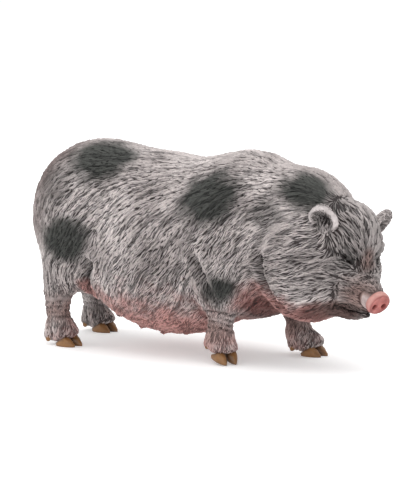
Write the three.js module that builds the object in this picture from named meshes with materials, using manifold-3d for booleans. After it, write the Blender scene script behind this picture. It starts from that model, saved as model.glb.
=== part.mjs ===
// A toy pot-bellied sow: a painted, solid plastic figure that walks with its head low.
// X points to the snout, Y to the animal's left and Z up, in millimetres. The sow's flesh is one smooth
// surface: masses of fat, muscle and bone that melt into each other. Thin cuts part it into the parts
// that a person would name, and the snout disc, eyes and claws are solids of their own.
import * as THREE from "three";
import { mergeVertices } from "three/addons/utils/BufferGeometryUtils.js";
import Module from "manifold-3d";

// ---- Driving dimensions ---------------------------------------------------------------------------
const BACK = 41.9; // height of the back over the hips
const WITHERS = 41.6; // and over the shoulders
const SADDLE = 39.8; // height of the back between them
const CLEARANCE = 3.6; // belly to floor
const GROUND = 0.28; // height of the floor in the sow's own frame
const HIPS_X = -18.2; // hip joint, from the middle of the legs
const SHOULDER_X = 17; // shoulder joint
const SNOUT = [52, -3.8, 14.6]; // middle of the snout disc
const HEAD_TURN = 18; // degrees that the head looks to the sow's right
const HEAD_DROP = 20; // degrees that the face points down
const CUT = 0.3; // width of each cut between parts
const LEFT = 1;
const RIGHT = -1;

// ---- Fields: distance to a surface, negative inside -------------------------------------------------
const radians = THREE.MathUtils.degToRad;
const mix = THREE.MathUtils.lerp;

function ball([cx, cy, cz], [rx, ry, rz]) {
  return (x, y, z) => {
    const [dx, dy, dz] = [x - cx, y - cy, z - cz];
    const near = Math.hypot(dx / rx, dy / ry, dz / rz);
    const steep = Math.hypot(dx / rx ** 2, dy / ry ** 2, dz / rz ** 2);
    return steep < 1e-9 ? -Math.min(rx, ry, rz) : (near * (near - 1)) / steep;
  };
}

// A chain of joints [x, y, z, radius], with straight sides from each to the next.
function limb(...joints) {
  return (x, y, z) => {
    let best = Infinity;
    for (let i = 1; i < joints.length; i++) {
      const [ax, ay, az, ar] = joints[i - 1];
      const [bx, by, bz, br] = joints[i];
      const [ux, uy, uz] = [bx - ax, by - ay, bz - az];
      const along = ((x - ax) * ux + (y - ay) * uy + (z - az) * uz) / (ux * ux + uy * uy + uz * uz);
      const t = Math.min(1, Math.max(0, along));
      const reach = Math.hypot(x - ax - t * ux, y - ay - t * uy, z - az - t * uz);
      best = Math.min(best, reach - mix(ar, br, t));
    }
    return best;
  };
}

// Fields that melt into each other over a width k.
function melt(k, ...fields) {
  return (x, y, z) => {
    let d = fields[0](x, y, z);
    for (let i = 1; i < fields.length; i++) {
      const e = fields[i](x, y, z);
      const h = Math.max(k - Math.abs(d - e), 0) / k;
      d = Math.min(d, e) - (h * h * k) / 4;
    }
    return d;
  };
}

// A field given in a frame of its own, moved into place by a rigid matrix.
function placed(matrix, field) {
  const e = matrix.clone().invert().elements;
  return (x, y, z) =>
    field(
      e[0] * x + e[4] * y + e[8] * z + e[12],
      e[1] * x + e[5] * y + e[9] * z + e[13],
      e[2] * x + e[6] * y + e[10] * z + e[14],
    );
}

function turned(at, zDegrees, yDegrees = 0, xDegrees = 0) {
  return new THREE.Matrix4()
    .makeRotationZ(radians(zDegrees))
    .multiply(new THREE.Matrix4().makeRotationY(radians(yDegrees)))
    .multiply(new THREE.Matrix4().makeRotationX(radians(xDegrees)))
    .setPosition(...at);
}

// ---- Trunk: hips, sagging belly, chest and shoulders ------------------------------------------------
const HIP_RADII = [15.2, 14.5, 14.5];
const SHOULDER_RADII = [14.5, 14, 14.6];
const BELLY_RADII = [22.5, 17, 16.6];

const trunk = melt(
  6,
  ball([HIPS_X, 0, BACK - HIP_RADII[2]], HIP_RADII),
  ball([1, 0, CLEARANCE + BELLY_RADII[2]], BELLY_RADII),
  ball([-2.5, 0, SADDLE - 12], [20, 11.5, 12]),
  ball([SHOULDER_X + 2, 0, WITHERS - SHOULDER_RADII[2]], SHOULDER_RADII),
  ball([21, 0, 18.3], [9, 8.5, 8.5]),
);

// ---- Neck: a crest on top and a roll of fat round the throat ----------------------------------------
const neck = melt(
  4,
  ball([31, -0.5, 25.6], [12.6, 12.4, 13.6]),
  ball([35.6, -1.2, 19], [8.8, 11.4, 9.4]),
);

// ---- Head, in its own frame: x out of the snout, y left, z up, from the middle of the disc -----------
const HEAD = turned(SNOUT, -HEAD_TURN, HEAD_DROP);
const EYE = { at: [-7.6, 3.4, 5.8], radius: 1 };
const DISC = { halfWidth: 2.5, halfHeight: 2.4, depth: 1.5 };
const MOUTH = { z: -3.5, corner: -5.6, halfWidth: 5, height: 0.4 };

const pair = (make) => [make(LEFT), make(RIGHT)];
const skull = melt(
  3,
  ball([-14, 0, 5.4], [8.1, 5.9, 8.8]),
  ball([-12.2, -0.3, 9.6], [4.8, 4.4, 4.6]),
  ball([-11, 0, 0.6], [6.8, 6, 6]),
);
const muzzle = limb([-1.2, 0, 0, 2.3], [-4, 0, 0.4, 3.15], [-7.5, 0, 1.4, 4.35]);
const browsAndCheeks = pair((side) =>
  melt(
    1,
    ball([-8.8, side * 1.8, 8.5], [2.2, 2.1, 1.8]),
    ball([-9.6, side * 3.1, 3.6], [3.1, 1.8, 2.4]),
    ball([-14.1, side * 4.1, -0.8], [6.3, 4, 5.8]),
  ),
);
const face = melt(1.6, skull, muzzle, ...browsAndCheeks);
const lowerJaw = melt(
  1.5,
  limb([-1.4, 0, -3.1, 0.9], [-5.6, 0, -3.5, 2.3], [-12, 0, -2.2, 4.1]),
  ball([-12.5, 0, -2.4], [6, 5.6, 3.8]),
  ball([-8.8, 0, -4.2], [5, 3.5, 3]),
);
const head = placed(HEAD, melt(1, face, lowerJaw));

// ---- Ears: small upright cups ------------------------------------------------------------------------
const EAR = { length: 5.9, halfWidth: 3.1, halfDepth: 1.7, bowl: 0.8, nod: 22 };
const EAR_AT = { [LEFT]: [-13.4, 5.6, 8.1], [RIGHT]: [-13.2, -5.8, 9.6] }; // the left ear is carried lower
const EAR_LEAN = { [LEFT]: 42, [RIGHT]: 14 }; // degrees outwards from upright
const EAR_FACE = { [LEFT]: 20, [RIGHT]: 55 }; // degrees that the cup opens outwards from the snout

function earFrame(side) {
  const inHead = turned(EAR_AT[side], side * EAR_FACE[side], EAR.nod, -side * EAR_LEAN[side]);
  return HEAD.clone().multiply(inHead);
}

// ---- Legs --------------------------------------------------------------------------------------------
// foot is the middle of the hooves, heel how far the fetlock stays behind it, shank the place of the lower
// leg, bend the knee or hock, yaw the degrees that the foot turns to the sow's left, and tilt those that it
// stands up on its toes.
const STANCE = {
  fore_right: { side: RIGHT, foot: 19.1, track: 9.7, yaw: -18, tilt: 15, heel: 1, shank: 18.2, bend: 18.9 },
  fore_left: { side: LEFT, foot: 27, track: 9.4, yaw: 0, tilt: 0, heel: 3, shank: 23.6, bend: 22.6 },
  hind_right: { side: RIGHT, foot: -20, track: 10.7, yaw: 0, tilt: 0, heel: 1.6, shank: -22.3, bend: -22.2 },
  hind_left: { side: LEFT, foot: -26.5, track: 8.6, yaw: -3, tilt: 0, heel: 1.8, shank: -28.8, bend: -29.8 },
};
const TOE_AHEAD = 3.6; // from the middle of a foot to the tips of its hooves
const isFore = (name) => name.startsWith("fore");
const footFrame = ({ side, foot, track, yaw, tilt }) =>
  turned([foot, side * track, GROUND], yaw)
    .multiply(turned([TOE_AHEAD, 0, 0], 0, tilt))
    .multiply(turned([-TOE_AHEAD, 0, 0], 0));

// The foot's own flesh: the fetlock, the roll over the hooves and the lobe behind that holds the dewclaws.
function footFlesh(stance) {
  const { heel } = stance;
  return placed(
    footFrame(stance),
    melt(
      1.2,
      limb([-heel, 0, 4.4, 2.45], [0, 0, 2.75, 2.2], [-1.7, 0, 2, 1.8]),
      ball([0.2, 0, 2.4], [2.1, 2.75, 1.9]),
      limb([-heel - 1.6, 0, 4.4, 1.6], [-3.7, 0, 2, 1.2]),
    ),
  );
}

function foreLeg(stance) {
  const { side, foot, track, heel, shank, bend } = stance;
  const y = side * track;
  const upper = ball([SHOULDER_X + 1, side * 8.6, 22], [8.4, 6, 11]);
  const lower = limb(
    [mix(SHOULDER_X, bend, 0.5), y * 0.98, 16, 4.8],
    [bend, y, 9.7, 2.9],
    [shank, y, 6.6, 2.45],
    [foot - heel, y, 4.8, 2.4],
  );
  return melt(1, melt(2.5, upper, lower), footFlesh(stance));
}

function hindLeg(stance) {
  const { side, foot, track, heel, shank, bend } = stance;
  const y = side * track;
  const upper = ball([HIPS_X + 0.2, side * 8.2, 23.4], [10.3, 6.5, 12]);
  const lower = limb(
    [mix(HIPS_X, bend, 0.4) - 0.4, y * 0.98, 17, 4.9],
    [bend, y, 11.4, 3.1],
    [shank, y, 7.2, 2.6],
    [foot - heel, y, 4.6, 2.5],
  );
  return melt(1, melt(2, upper, lower), footFlesh(stance));
}

const legs = Object.fromEntries(
  Object.entries(STANCE).map(([name, stance]) => [
    name,
    isFore(name) ? foreLeg(stance) : hindLeg(stance),
  ]),
);

// ---- Tail: hangs against the rump --------------------------------------------------------------------
const TAIL_ROOT = [HIPS_X - HIP_RADII[0] + 0.6, 0, 32];
const tail = limb(
  [...TAIL_ROOT, 1.4],
  [TAIL_ROOT[0] - 1.1, 0.4, 28.6, 1.1],
  [TAIL_ROOT[0] - 1, 0.9, 24.6, 1],
  [TAIL_ROOT[0] - 0.4, 1.2, 21, 1.2],
  [TAIL_ROOT[0] + 0.1, 1.1, 18.6, 0.7],
);

// ---- The whole flesh ---------------------------------------------------------------------------------
const body = melt(2.6, trunk, ...Object.values(legs));
const flesh = melt(0.8, melt(2.2, melt(3, body, neck), head), tail);

// ---- Closed mesh of a field: one vertex in each cell that the surface crosses, pulled onto it ---------
function meshOf(field, [low, high], cell) {
  const count = low.map((v, i) => Math.ceil((high[i] - v) / cell) + 1);
  const inBox = (x, y, z) =>
    Math.max(low[0] - x, x - high[0], low[1] - y, y - high[1], low[2] - z, z - high[2]) + 1.2 * cell;
  const clipped = (x, y, z) => Math.max(field(x, y, z), inBox(x, y, z));
  const index = (i, j, k) => i + count[0] * (j + count[1] * k);
  const value = new Float64Array(count[0] * count[1] * count[2]);
  for (let k = 0; k < count[2]; k++)
    for (let j = 0; j < count[1]; j++)
      for (let i = 0; i < count[0]; i++)
        value[index(i, j, k)] = clipped(low[0] + i * cell, low[1] + j * cell, low[2] + k * cell);

  const positions = [];
  const vertexOf = new Map();
  const corners = [0, 1, 2, 3, 4, 5, 6, 7].map((c) => [c & 1, (c >> 1) & 1, (c >> 2) & 1]);
  const edges = [];
  for (const a of corners)
    for (let axis = 0; axis < 3; axis++)
      if (!a[axis]) edges.push([a, a.map((v, n) => (n === axis ? 1 : v))]);
  for (let k = 0; k < count[2] - 1; k++)
    for (let j = 0; j < count[1] - 1; j++)
      for (let i = 0; i < count[0] - 1; i++) {
        const sum = [0, 0, 0];
        let crossings = 0;
        for (const [a, b] of edges) {
          const va = value[index(i + a[0], j + a[1], k + a[2])];
          const vb = value[index(i + b[0], j + b[1], k + b[2])];
          if (va < 0 === vb < 0) continue;
          const t = va / (va - vb);
          for (let axis = 0; axis < 3; axis++) sum[axis] += mix(a[axis], b[axis], t);
          crossings++;
        }
        if (!crossings) continue;
        vertexOf.set(index(i, j, k), positions.length / 3);
        const p = [i, j, k].map((v, axis) => low[axis] + (v + sum[axis] / crossings) * cell);
        positions.push(...pulledOnto(clipped, p, cell));
      }

  const triangles = [];
  const steps = [[1, 0, 0], [0, 1, 0], [0, 0, 1]];
  for (let k = 1; k < count[2] - 1; k++)
    for (let j = 1; j < count[1] - 1; j++)
      for (let i = 1; i < count[0] - 1; i++)
        for (let axis = 0; axis < 3; axis++) {
          const inside = value[index(i, j, k)] < 0;
          const [a, b, c] = [steps[axis], steps[(axis + 1) % 3], steps[(axis + 2) % 3]];
          if (inside === value[index(i + a[0], j + a[1], k + a[2])] < 0) continue;
          const at = (m, n) =>
            vertexOf.get(index(i - m * b[0] - n * c[0], j - m * b[1] - n * c[1], k - m * b[2] - n * c[2]));
          const quad = [at(1, 1), at(0, 1), at(0, 0), at(1, 0)];
          if (!inside) quad.reverse();
          triangles.push(quad[0], quad[1], quad[2], quad[0], quad[2], quad[3]);
        }
  return new THREE.BufferGeometry()
    .setAttribute("position", new THREE.Float32BufferAttribute(positions, 3))
    .setIndex(triangles);
}

// A point moved down the field's slope onto its surface, by no more than a third of a cell.
function pulledOnto(field, [x, y, z], cell) {
  const e = cell / 50;
  const d = field(x, y, z);
  const slope = [
    field(x + e, y, z) - field(x - e, y, z),
    field(x, y + e, z) - field(x, y - e, z),
    field(x, y, z + e) - field(x, y, z - e),
  ].map((v) => v / (2 * e));
  const squared = slope[0] ** 2 + slope[1] ** 2 + slope[2] ** 2;
  if (squared < 0.04) return [x, y, z];
  const move = Math.max(-cell / 3, Math.min(cell / 3, d / Math.sqrt(squared))) / Math.sqrt(squared);
  return [x - slope[0] * move, y - slope[1] * move, z - slope[2] * move];
}

// ---- Solids ------------------------------------------------------------------------------------------
const wasm = await Module();
wasm.setup();

function solidOf(geometry) {
  const bare = new THREE.BufferGeometry().setAttribute("position", geometry.getAttribute("position"));
  if (geometry.index) bare.setIndex(geometry.index);
  const merged = mergeVertices(bare, 1e-4);
  return new wasm.Manifold(
    new wasm.Mesh({
      numProp: 3,
      vertProperties: merged.attributes.position.array,
      triVerts: new Uint32Array(merged.index.array),
    }),
  );
}

function geometryOf(solid) {
  const mesh = solid.getMesh();
  return new THREE.BufferGeometry()
    .setAttribute("position", new THREE.Float32BufferAttribute(mesh.vertProperties, 3))
    .setIndex(new THREE.BufferAttribute(mesh.triVerts, 1))
    .toNonIndexed();
}

// An egg-shaped knife for a part: the part is what lies inside it, and the rest keeps a cut's width away.
function egg(at, radii, zDegrees = 0, yDegrees = 0, xDegrees = 0) {
  return (grow) =>
    solidOf(
      new THREE.SphereGeometry(1, 15, 9)
        .scale(radii[0] + grow, radii[1] + grow, radii[2] + grow)
        .applyMatrix4(turned(at, zDegrees, yDegrees, xDegrees)),
    );
}

// A flat knife: the part is on the side that the plane's own x points to.
function plane(at, zDegrees, yDegrees) {
  const size = 200;
  return (grow) =>
    solidOf(
      new THREE.BoxGeometry(size, size, size)
        .translate(size / 2 - grow, 0, 0)
        .applyMatrix4(turned(at, zDegrees, yDegrees)),
    );
}

const WHOLE_BOX = [[-40, -24, -4], [60, 24, 46]];
const floor = solidOf(new THREE.BoxGeometry(200, 200, 20).translate(0, 0, GROUND - 10));

// The flesh near a part, meshed on a grid of the part's own cell.
const fleshIn = (box, cell) => solidOf(meshOf(flesh, box, cell));

// ---- Claws: two hooves and two dewclaws on each foot --------------------------------------------------
const HOOF = { length: 6.4, width: 2.4, height: 2.4, splay: -5, slope: 1.2 };
const HEEL_BACK = 2.2; // from the middle of the hooves back to the heel of that length
const CORONET = { front: 2, at: 1.2, slope: 24 }; // where flesh meets horn: height, and degrees to the heel
const DEWCLAW = { length: 1.9, radius: 0.6, behind: 3.8, apart: 1.2, height: 1.5 };

// A hoof from its heel at x = 0: a flat sole, a toe drawn to a blunt point and a wall that slopes back.
function hoofGeometry() {
  const geometry = new THREE.SphereGeometry(1, 8, 5);
  const position = geometry.getAttribute("position");
  for (let i = 0; i < position.count; i++) {
    const [x, y, z] = [position.getX(i), position.getY(i), position.getZ(i)];
    const toe = Math.max(0, x);
    const rise = (z + 1) / 2;
    position.setXYZ(
      i,
      (HOOF.length / 2) * (1 + x) - HOOF.slope * HOOF.height * rise * toe,
      y * (HOOF.width / 2) * (1 - 0.4 * toe ** 2) * (1 - 0.06 * rise),
      HOOF.height * (rise * 1.6 - 0.3),
    );
  }
  return geometry;
}

// All that lies under a foot's coronet, lowered by the given amount.
function underCoronet(name, lower) {
  const box = new THREE.BoxGeometry(14, 9, 8).translate(0, 0, -4 - lower);
  box.applyMatrix4(turned([CORONET.at, 0, CORONET.front], 0, -CORONET.slope));
  return solidOf(box.applyMatrix4(footFrame(STANCE[name])));
}

function hoofAt(name, claw) {
  const apart = HOOF.width / 2 + CUT / 2 + 0.05;
  const hoof = hoofGeometry().applyMatrix4(turned([-HEEL_BACK, claw * apart, 0], claw * HOOF.splay));
  const solid = solidOf(hoof.applyMatrix4(footFrame(STANCE[name])));
  return solid.intersect(underCoronet(name, CUT)).subtract(floor);
}

function dewclawAt(name, claw) {
  const at = turned([-DEWCLAW.behind, claw * DEWCLAW.apart, DEWCLAW.height], claw * 12, 112);
  return (grow) =>
    solidOf(
      new THREE.SphereGeometry(1, 6, 4)
        .scale(DEWCLAW.length / 2 + grow, DEWCLAW.radius + grow, DEWCLAW.radius + grow)
        .applyMatrix4(at)
        .applyMatrix4(footFrame(STANCE[name])),
    );
}

// ---- Snout disc and eyes ------------------------------------------------------------------------------
const NOSTRIL = { apart: 1.25, radius: 0.5, rise: -0.1 };

function snoutDisc(grow) {
  const rim = DISC.depth / 2 + grow;
  const edge = 1 + grow / DISC.halfHeight;
  const profile = [];
  for (let i = 0; i <= 3; i++) {
    const a = -Math.PI / 2 + (Math.PI * i) / 3;
    profile.push(new THREE.Vector2(edge - 0.2 + 0.2 * Math.cos(a), rim * Math.sin(a)));
  }
  const dish = grow ? rim : rim - 0.22;
  const outline = [new THREE.Vector2(0, -rim), ...profile, new THREE.Vector2(0, dish)];
  const disc = new THREE.LatheGeometry(outline, 18)
    .scale(DISC.halfHeight, 1, DISC.halfWidth)
    .rotateZ(-Math.PI / 2)
    .applyMatrix4(HEAD);
  const solid = solidOf(disc);
  if (grow) return solid;
  return pair((side) =>
    solidOf(
      new THREE.SphereGeometry(1, 6, 4)
        .scale(0.9, NOSTRIL.radius, NOSTRIL.radius * 1.25)
        .applyMatrix4(turned([DISC.depth / 2, side * NOSTRIL.apart, NOSTRIL.rise], 0))
        .applyMatrix4(HEAD),
    ),
  ).reduce((made, hole) => made.subtract(hole), solid);
}

function eyeAt(side) {
  return (grow) =>
    solidOf(
      new THREE.SphereGeometry(EYE.radius + grow, 8, 6)
        .applyMatrix4(turned([EYE.at[0], side * EYE.at[1], EYE.at[2]], 0))
        .applyMatrix4(HEAD),
    );
}

// ---- Ear shells: a flattened ball with its front pressed in, which leaves a thick rim ------------------
function earShell(side) {
  const shell = new THREE.SphereGeometry(1, 14, 8).rotateZ(-Math.PI / 2);
  const position = shell.getAttribute("position");
  const rise = EAR.length / 2;
  for (let i = 0; i < position.count; i++) {
    const [x, y, z] = [position.getX(i), position.getY(i), position.getZ(i)];
    const middle = Math.max(0, 1 - (y * y + z * z) / EAR.bowl ** 2);
    const pressed = x > 0 ? x - 1.5 * middle : x;
    const tip = Math.max(0, z) ** 2;
    position.setXYZ(
      i,
      EAR.halfDepth * pressed - 0.7 * tip,
      EAR.halfWidth * y * (1 - 0.18 * tip),
      rise * (1 + z) - 0.4,
    );
  }
  return solidOf(shell.applyMatrix4(earFrame(side)));
}

// ---- Teats: two rows along the belly --------------------------------------------------------------------
const TEATS = { pairs: 5, from: -11, to: 12, apart: 4.6, radius: 0.65, length: 2 };

function teats() {
  const made = [];
  for (let n = 0; n < TEATS.pairs; n++)
    for (const side of [LEFT, RIGHT]) {
      const x = mix(TEATS.from, TEATS.to, n / (TEATS.pairs - 1));
      let z = 0;
      while (body(x, side * TEATS.apart, z) > 0) z += 0.05;
      const cone = new THREE.SphereGeometry(1, 6, 4).scale(TEATS.radius, TEATS.radius, TEATS.length / 2);
      made.push(solidOf(cone.applyMatrix4(turned([x, side * TEATS.apart, z + 0.1], 0, 0, side * 14))));
    }
  return made;
}

// ---- Parts: name, knife, the box it is meshed in and its cell -------------------------------------------
const dewclaws = {};
const solids = {};
for (const name of Object.keys(STANCE))
  for (const [place, way] of [["outer", 1], ["inner", -1]]) {
    const claw = STANCE[name].side * way;
    solids[`hoof_${name}_${place}`] = hoofAt(name, claw);
    dewclaws[`dewclaw_${name}_${place}`] = dewclawAt(name, claw);
  }
const set = { snout: snoutDisc, eye_left: eyeAt(LEFT), eye_right: eyeAt(RIGHT), ...dewclaws };

const legKnife = (name) => {
  const { side, foot } = STANCE[name];
  return isFore(name)
    ? egg([mix(SHOULDER_X, foot, 0.5) + 1.5, side * 13.6, 9], [7.4 + 0.25 * (foot - SHOULDER_X), 8.6, 15.5])
    : egg([mix(HIPS_X, foot, 0.4) - 3.4, side * 13.4, 9], [9.8, 8.8, 16]);
};
const legBox = ({ foot, bend }) => [
  [Math.min(foot, bend) - 12, -22, -4],
  [Math.max(foot, bend) + 12, 22, 27],
];
const earKnife = (side) => (grow) =>
  solidOf(
    new THREE.SphereGeometry(1, 12, 8)
      .scale(2.9 + grow, EAR.halfWidth + 0.7 + grow, EAR.length / 2 + 0.4 + grow)
      .translate(-0.1, 0, EAR.length / 2 + 1)
      .applyMatrix4(earFrame(side)),
  );
const HEAD_BOX = [[30, -19, 2], [60, 16, 44]];
const fleshParts = [
  ...Object.keys(STANCE).map((name) => [`leg_${name}`, legKnife(name), legBox(STANCE[name]), 2]),
  ["tail", plane([TAIL_ROOT[0] - 0.2, 0, 30], 180, 8), [[-40, -8, 12], [-24, 8, 38]], 1.3],
  ["ear_left", earKnife(LEFT), HEAD_BOX, 1.5],
  ["ear_right", earKnife(RIGHT), HEAD_BOX, 1.5],
  ["head", plane([40.5, 0, 24], -14, 12), HEAD_BOX, 1.85],
  ["neck", plane([28.5, 0, 24], 0, -8), [[18, -20, 0], [50, 20, 46]], 3.1],
];

for (const [name, make] of Object.entries(set)) solids[name] = make(0);
const mouthSlot = solidOf(
  new THREE.BoxGeometry(12, 2 * MOUTH.halfWidth, MOUTH.height)
    .translate(MOUTH.corner + 6, 0, MOUTH.z)
    .applyMatrix4(HEAD),
);
const keptOff = Object.values(set)
  .map((make) => make(CUT))
  .concat(Object.keys(STANCE).map((name) => underCoronet(name, 0)), mouthSlot, floor)
  .reduce((all, one) => all.add(one));

let knives = null; // what the parts before have taken, grown by the cut
for (const [name, knife, box, cell] of fleshParts) {
  let part = fleshIn(box, cell);
  if (name.startsWith("ear")) part = part.add(earShell(name === "ear_left" ? LEFT : RIGHT));
  part = part.intersect(knife(0)).subtract(keptOff);
  if (knives) part = part.subtract(knives);
  solids[name] = part;
  knives = knives ? knives.add(knife(CUT)) : knife(CUT);
}
let rest = fleshIn(WHOLE_BOX, 4);
for (const teat of teats()) rest = rest.add(teat);
solids.trunk = rest.subtract(knives).subtract(keptOff);

// ---- Paint ----------------------------------------------------------------------------------------------
const paint = {
  coat: new THREE.MeshStandardMaterial({ color: 0xa39a99, roughness: 0.75 }),
  skin: new THREE.MeshStandardMaterial({ color: 0xd98a83, roughness: 0.55 }),
  horn: new THREE.MeshStandardMaterial({ color: 0x8a6a3c, roughness: 0.45 }),
  eye: new THREE.MeshStandardMaterial({ color: 0x1a1412, roughness: 0.2 }),
};
function paintOf(name) {
  if (name.startsWith("hoof") || name.startsWith("dewclaw")) return paint.horn;
  if (name.startsWith("eye")) return paint.eye;
  return name === "snout" ? paint.skin : paint.coat;
}

// ---- Assembly: the origin is on the floor under the middle of the figure -------------------------------
const sow = new THREE.Group();
for (const [name, solid] of Object.entries(solids)) {
  // A cut can leave a sliver of flesh that touches nothing: the largest body is the part.
  const [largest] = solid.decompose().sort((a, b) => b.volume() - a.volume());
  const mesh = new THREE.Mesh(geometryOf(largest), paintOf(name));
  mesh.name = name;
  sow.add(mesh);
}
const middle = new THREE.Box3().setFromObject(sow).getCenter(new THREE.Vector3());
sow.position.set(-middle.x, -middle.y, -GROUND);
const figure = new THREE.Group();
figure.add(sow);

export default figure;
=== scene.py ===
import math
from collections import namedtuple
from itertools import product

import bmesh
import bpy
import numpy as np
from mathutils import Matrix, Vector, noise
from mathutils.bvhtree import BVHTree


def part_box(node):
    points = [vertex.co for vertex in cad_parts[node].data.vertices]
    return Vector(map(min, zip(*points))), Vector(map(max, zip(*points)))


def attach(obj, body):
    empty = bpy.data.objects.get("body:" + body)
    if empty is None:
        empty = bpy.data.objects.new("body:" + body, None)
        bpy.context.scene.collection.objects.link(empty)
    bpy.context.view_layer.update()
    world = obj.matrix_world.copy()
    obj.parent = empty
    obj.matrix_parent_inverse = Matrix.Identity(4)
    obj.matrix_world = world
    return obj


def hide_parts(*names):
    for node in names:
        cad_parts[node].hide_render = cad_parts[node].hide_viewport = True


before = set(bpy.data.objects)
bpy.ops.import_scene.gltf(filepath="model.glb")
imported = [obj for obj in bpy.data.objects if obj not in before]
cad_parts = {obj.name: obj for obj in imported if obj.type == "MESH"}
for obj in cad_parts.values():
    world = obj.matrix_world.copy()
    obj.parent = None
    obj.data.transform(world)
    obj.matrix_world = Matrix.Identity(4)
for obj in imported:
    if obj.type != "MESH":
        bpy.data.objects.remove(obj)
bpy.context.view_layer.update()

# ---- Table, light and camera ------------------------------------------------------------------------
# The figure stands on a plain pale light table, a wide translucent sheet that glows faintly. Soft boxes
# hang over it, ahead of it and behind its rump, and the long lens looks from ahead of its right flank, a
# little above its back.
TABLE_REACH, TABLE_GLOW, STUDIO_GLOW = 3.0, 0.26, 0.82
SOFT_BOXES = (  # place, width, height and watts
    ("soft_box_over", (0.0, 0.02, 0.60), 0.80, 0.65, 2.2),
    ("soft_box_front", (0.30, -0.55, 0.28), 0.45, 0.35, 0.7),
    ("soft_box_side", (-0.50, -0.25, 0.30), 0.35, 0.30, 0.22),
)
LIT = Vector((0, 0, 0.02))  # where the soft boxes point
CAMERA_TURN = 37.7  # degrees from the side view towards the snout
CAMERA_RISE = 7.2
CAMERA_AWAY = 0.600
AIM = Vector((-0.00064, 0, 0.02032))
SENSOR = 36.0
LENS = 214.3


def shown(name, data):
    thing = bpy.data.objects.new(name, data)
    bpy.context.scene.collection.objects.link(thing)
    return thing


def surface_piece(name, points, faces, material):
    mesh = bpy.data.meshes.new(name)
    mesh.from_pydata([tuple(p) for p in points], [], [tuple(f) for f in faces])
    mesh.polygons.foreach_set("use_smooth", [True] * len(mesh.polygons))
    mesh.materials.append(material)
    return shown(name, mesh)


def node(tree, kind, inputs=None, **settings):
    made = tree.nodes.new("ShaderNode" + kind)
    for name, value in settings.items():
        setattr(made, name, value)
    for name, value in (inputs or {}).items():
        if isinstance(value, bpy.types.NodeSocket):
            tree.links.new(value, made.inputs[name])
        else:
            made.inputs[name].default_value = value
    return made


def grain(tree, scale, detail=2.0, **inputs):
    return node(tree, "TexNoise", {"Scale": scale, "Detail": detail, **inputs}).outputs["Fac"]


def mixed(tree, factor, a, b, blend="MIX"):
    return node(tree, "Mix", {0: factor, 6: a, 7: b}, data_type="RGBA", blend_type=blend).outputs[2]


def paint(name, roughness, **constants):
    material = bpy.data.materials.new(name)
    material.use_nodes = True
    shader = material.node_tree.nodes["Principled BSDF"]
    shader.inputs["Roughness"].default_value = roughness
    for socket, value in constants.items():
        shader.inputs[socket.replace("_", " ")].default_value = value
    return material, material.node_tree, shader


def srgb(*colour):
    return tuple(((v / 255 + 0.055) / 1.055) ** 2.4 if v > 10 else v / 255 / 12.92 for v in colour) + (1,)


table_paint, tree, shader = paint(
    "Table sheet", 0.9, Emission_Color=(1, 1, 1, 1), Emission_Strength=TABLE_GLOW)
tone = mixed(tree, grain(tree, 30.0, 3.0), srgb(246, 246, 246), srgb(250, 250, 250))
tree.links.new(tone, shader.inputs["Base Color"])
table_corners = [(x * TABLE_REACH, y * TABLE_REACH, 0) for x, y in ((-1, -1), (1, -1), (1, 1), (-1, 1))]
table = surface_piece("table", table_corners, [(0, 1, 2, 3)], table_paint)

world = bpy.data.worlds.new("Studio")
bpy.context.scene.world = world
world.use_nodes = True
world.node_tree.nodes["Background"].inputs["Color"].default_value = (1, 1, 1, 1)
world.node_tree.nodes["Background"].inputs["Strength"].default_value = STUDIO_GLOW
bpy.context.scene.view_settings.view_transform = "Standard"

for name, place, width, height, watts in SOFT_BOXES:
    light = bpy.data.lights.new(name, "AREA")
    light.shape = "RECTANGLE"
    light.size, light.size_y, light.energy = width, height, watts
    box = shown(name, light)
    box.location = place
    box.rotation_euler = (LIT - Vector(place)).to_track_quat("-Z", "Y").to_euler()

turn, rise = math.radians(CAMERA_TURN), math.radians(CAMERA_RISE)
away = Vector((math.sin(turn) * math.cos(rise), -math.cos(turn) * math.cos(rise), math.sin(rise)))
camera = shown("camera", bpy.data.cameras.new("camera"))
camera.data.lens, camera.data.sensor_width = LENS, SENSOR
camera.data.clip_start, camera.data.clip_end = 0.05, 20
camera.location = AIM + away * CAMERA_AWAY
camera.rotation_euler = away.to_track_quat("Z", "Y").to_euler()
bpy.context.scene.camera = camera

# ---- Flesh --------------------------------------------------------------------------------------------
# The body is one moulding in soft plastic: masses of fat, muscle and bone that melt into each other.
# It is worked out in millimetres in the sow's own frame, X to the snout, Y to her left and Z up, as
# distances to a surface, and set in the row's frame by the place of her right eye.
BRISTLE_DEPTH = 0.3  # the bristles' height over the skin
HIPS, SHOULDERS = -18.2, 17.0
GROUND = 0.28  # height of the floor in the sow's own frame
Leg = namedtuple("Leg", "name side foot track turn tilt heel shank bend")
STANCE = (  # along x: middle of the hooves, fetlock behind it, shank, and knee or hock; track is across
    Leg("fore_right", -1, 19.1, 9.7, -18, 15, 1, 18.2, 18.9),
    Leg("fore_left", 1, 27, 9.4, 0, 0, 3, 23.6, 22.6),
    Leg("hind_right", -1, -20, 10.7, 0, 0, 1.6, -22.3, -22.2),
    Leg("hind_left", 1, -26.5, 8.6, -3, 0, 1.8, -28.8, -29.8),
)
TOE_AHEAD = 3.6  # from the middle of a foot to the tips of its hooves


def turned(at, about_z=0, about_y=0, about_x=0):
    turns = ((about_z, "Z"), (about_y, "Y"), (about_x, "X"))
    z, y, x = (Matrix.Rotation(math.radians(degrees), 4, axis) for degrees, axis in turns)
    return Matrix.Translation(at) @ (z @ y @ x)


def size(v):
    return np.linalg.norm(v, axis=1)


def moved(points, matrix):
    m = np.array(matrix)
    return points @ m[:3, :3].T + m[:3, 3]


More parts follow.
